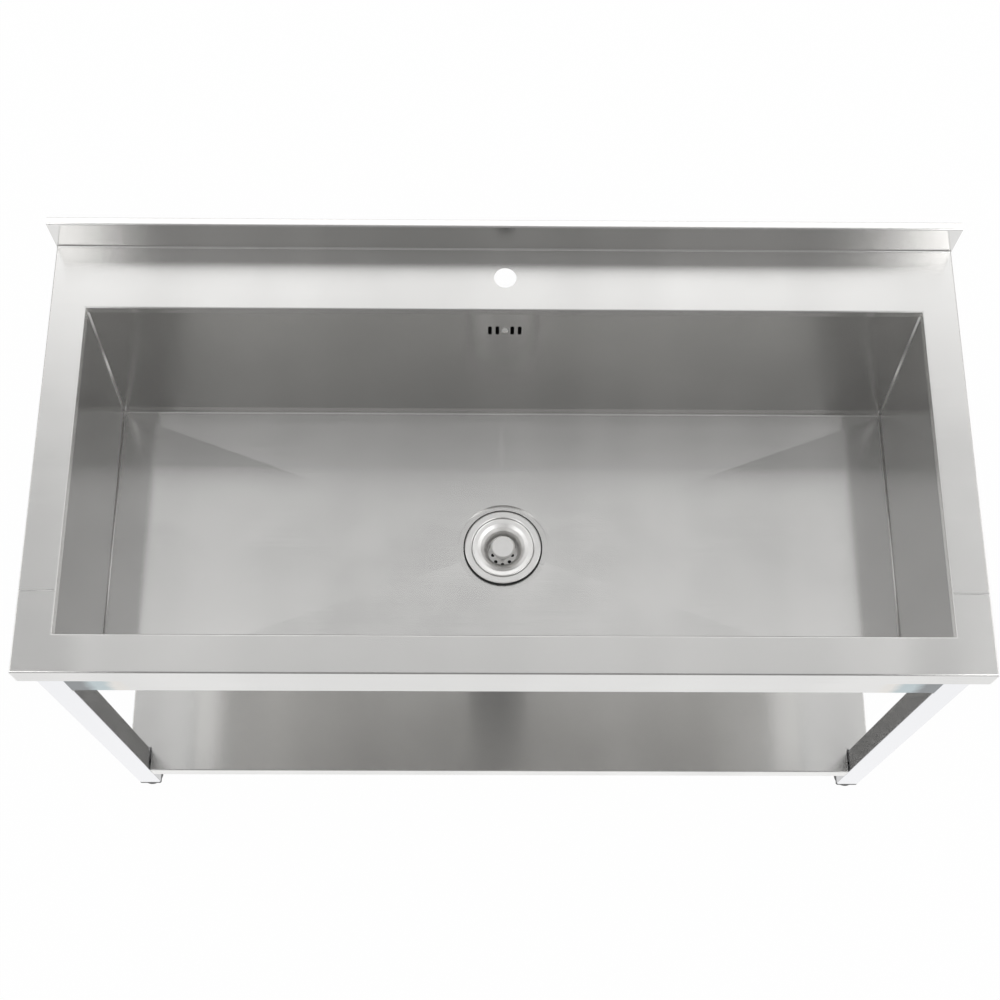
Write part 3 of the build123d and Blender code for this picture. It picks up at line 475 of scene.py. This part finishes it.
# depth under the crest, pitch, segments round
STEM_THREAD = (0.0009, 0.0015, 20)
OUTLET_THREAD = (0.0009, 0.0023, 48)
OUTLET_CREST = 0.0003
THREAD_ROWS = 5
THREAD_FLANK = 2.4


def add_piece(name, shells, material, body):
    """Closed shells, each a list of rings of points, as one piece that rides a body."""
    work = bmesh.new()
    for rings in shells:
        rows = [[work.verts.new(point) for point in ring] for ring in rings]
        for low, high in zip(rows, rows[1:]):
            for index, vert in enumerate(low):
                following = (index + 1) % len(low)
                work.faces.new((vert, low[following], high[following], high[index]))
        work.faces.new(reversed(rows[0]))
        work.faces.new(rows[-1])
    bmesh.ops.recalc_face_normals(work, faces=work.faces)
    mesh = bpy.data.meshes.new(name)
    work.to_mesh(mesh)
    work.free()
    mesh.shade_smooth()
    mesh.materials.append(material)
    piece = bpy.data.objects.new(name, mesh)
    bpy.context.scene.collection.objects.link(piece)
    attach(piece, body)
    return piece


def quarter_turns():
    """Angles from nothing to a quarter turn, in even steps."""
    return [math.radians(90 * step / ARC_STEPS) for step in range(ARC_STEPS + 1)]


def cove_section(radius):
    """Hollow fillet in the corner of two directions."""
    arc = [(radius - radius * math.sin(a), radius - radius * math.cos(a)) for a in quarter_turns()]
    return [(-EMBED, -EMBED), (radius, -EMBED), *arc, (-EMBED, radius)]


def crown_section(radius):
    """Full fillet in the corner of two directions."""
    turns = (0.0, 0.5, 1.07, math.pi / 2)
    arc = [(radius * math.cos(turn), radius * math.sin(turn)) for turn in turns]
    return [(-EMBED, -EMBED), (radius, -EMBED), *arc, (-EMBED, radius)]


def seam_section(half_width, crown):
    """Low crown across a flat surface."""
    return [
        (-half_width, -EMBED),
        (half_width, -EMBED),
        (half_width, 0),
        (half_width / 2, 0.7 * crown),
        (0, crown),
        (-half_width / 2, 0.7 * crown),
        (-half_width, 0),
    ]


def bead(path, section, ripple=0.0):
    """Rings of a bead: a section carried along stations of a point and two side directions."""
    pitch = RIPPLE_PITCH
    rings = []
    travelled = 0.0
    for (point, first, second), (next_point, next_first, next_second) in zip(path, path[1:]):
        length = (next_point - point).length
        count = max(1, round(4 * length / pitch)) if ripple else 1
        for step in range(count):
            share = step / count
            swell = 1 + ripple * math.cos(2 * math.pi * (travelled + share * length) / pitch)
            across = first.lerp(next_first, share) * swell
            up = second.lerp(next_second, share) * swell
            rings.append([point.lerp(next_point, share) + across * u + up * v for u, v in section])
        travelled += length
    point, first, second = path[-1]
    rings.append([point + first * u + second * v for u, v in section])
    return rings


def add_bowl_welds(material):
    """Ground welds round each end wall: up the rear corner, along the floor, up the front corner."""
    rear_foot = Vector((0, BOWL_REAR_FOOT_Y, BOWL_FLOOR_Z))
    rear_top = Vector((0, BOWL_REAR_Y, WALL_TOP_Z))
    front_foot = Vector((0, BOWL_FRONT_Y, BOWL_FLOOR_Z))
    front_top = Vector((0, BOWL_FRONT_Y, WALL_TOP_Z))
    leaning = (rear_top - rear_foot).normalized()
    off_rear = X.cross(leaning).normalized()
    # from, to, the second side direction, radius
    corners = (
        (rear_foot, rear_top, off_rear, REAR_COVE_R),
        (front_foot, rear_foot, Z, COVE_R),
        (front_foot, front_top, Y, COVE_R),
    )
    for side, name in ((-1, "bowl_weld_left"), (1, "bowl_weld_right")):
        edge = side * BOWL_X * X
        inward = -side * X
        shells = [
            bead([(edge + start, inward, off), (edge + end, inward, off)], cove_section(radius))
            for start, end, off, radius in corners
        ]
        add_piece(name, shells, material, "sink")


def add_rim_welds(material):
    """Ground seam across each side rim and down its lip, where the front rim is joined on."""
    inner = BOWL_X + FOLD
    outer = HALF_WIDTH - FOLD
    crown = SEAM_CROWN
    for side, name in ((-1, "rim_weld_left"), (1, "rim_weld_right")):
        out = side * X
        path = [(out * inner + Y * SEAM_Y + Z * DECK_Z, Y, Z)]
        for turn in quarter_turns():
            normal = out * math.sin(turn) + Z * math.cos(turn)
            corner = out * outer + Y * SEAM_Y + Z * (DECK_Z - FOLD)
            path.append((corner + normal * (FOLD - crown * math.sin(turn)), Y, normal))
        path.append((out * (HALF_WIDTH - crown) + Y * SEAM_Y + Z * (LIP_Z + FOLD), Y, out))
        shells = [bead(path, seam_section(SEAM_HALF_WIDTH, crown))]
        add_piece(name, shells, material, "sink")


def rail_weld(base, flush, along):
    """Rippled bead round the three open sides of a rail's end."""
    near = RAIL_HALF_D - TUBE_CORNER
    tall = RAIL_HALF_H - TUBE_CORNER
    path = [(base + flush * RAIL_HALF_D - Z * RAIL_HALF_H, along, -Z)]
    for quarter, (x, z) in enumerate(((-near, -tall), (-near, tall))):
        for step in range(ARC_STEPS + 1):
            turn = math.radians(90 * quarter + 90 * step / ARC_STEPS)
            normal = -flush * math.sin(turn) - Z * math.cos(turn)
            path.append((base + flush * x + Z * z + normal * TUBE_CORNER, along, normal))
    path.append((base + flush * RAIL_HALF_D + Z * RAIL_HALF_H, along, Z))
    return bead(path, crown_section(RAIL_WELD_R), ripple=RIPPLE)


def add_rail_welds(material):
    """The two rail ends welded to each leg."""
    rails = ((-1, "front", RAIL_Z), (1, "rear", REAR_RAIL_Z))
    for side, hand in ((-1, "left"), (1, "right")):
        for end, place, rail_z in rails:
            out_x = side * X
            out_y = end * Y
            flush_y = LEG_Y + LEG_HALF - RAIL_HALF_D
            flush_x = LEG_X + LEG_HALF - RAIL_HALF_D
            shells = [
                rail_weld(out_x * LEG_FACE_X + out_y * flush_y + Z * rail_z, out_y, -out_x),
                rail_weld(out_x * flush_x + out_y * LEG_FACE_Y + Z * RAIL_Z, out_x, -out_y),
            ]
            add_piece("rail_weld_" + place + "_" + hand, shells, material, "sink")


def thread_rings(x, y, z_span, crest, thread):
    """Rings of a screw thread about an upright axis."""
    depth, pitch, segments = thread
    root = crest - depth
    low, high = z_span
    count = round(THREAD_ROWS * (high - low) / pitch)
    rings = []
    for row in range(count + 1):
        z = low + (high - low) * row / count
        ring = []
        for index in range(segments):
            turn = index / segments
            phase = (z / pitch - turn) % 1.0
            height = min(1.0, THREAD_FLANK * min(phase, 1.0 - phase))
            radius = root + (crest - root) * height
            angle = 2 * math.pi * turn
            ring.append((x + radius * math.cos(angle), y + radius * math.sin(angle), z))
        rings.append(ring)
    return rings


def add_threads(plated, plastic):
    """Threaded foot stems, and the thread on the waste outlet."""
    for side, hand in ((-1, "left"), (1, "right")):
        for end, place in ((-1, "front"), (1, "rear")):
            corner = place + "_" + hand
            rings = thread_rings(side * LEG_X, end * LEG_Y, STEM_SPAN, STEM_R, STEM_THREAD)
            stem = add_piece("threaded_stem_" + corner, [rings], plated, "foot_" + corner)
            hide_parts("foot_stem_" + corner)
    rings = thread_rings(0.0, DRAIN_Y, OUTLET_SPAN, OUTLET_R + OUTLET_CREST, OUTLET_THREAD)
    add_piece("outlet_thread", [rings], plastic, "sink")


add_camera()
add_lights()
add_room()
add_floor()
finishes = add_materials()
add_bowl_welds(finishes["weld_steel"])
add_rim_welds(finishes["weld_steel"])
add_rail_welds(finishes["weld_steel"])
add_threads(finishes["plated_steel"], finishes["black_plastic"])
bpy.context.scene.view_settings.view_transform = "Standard"
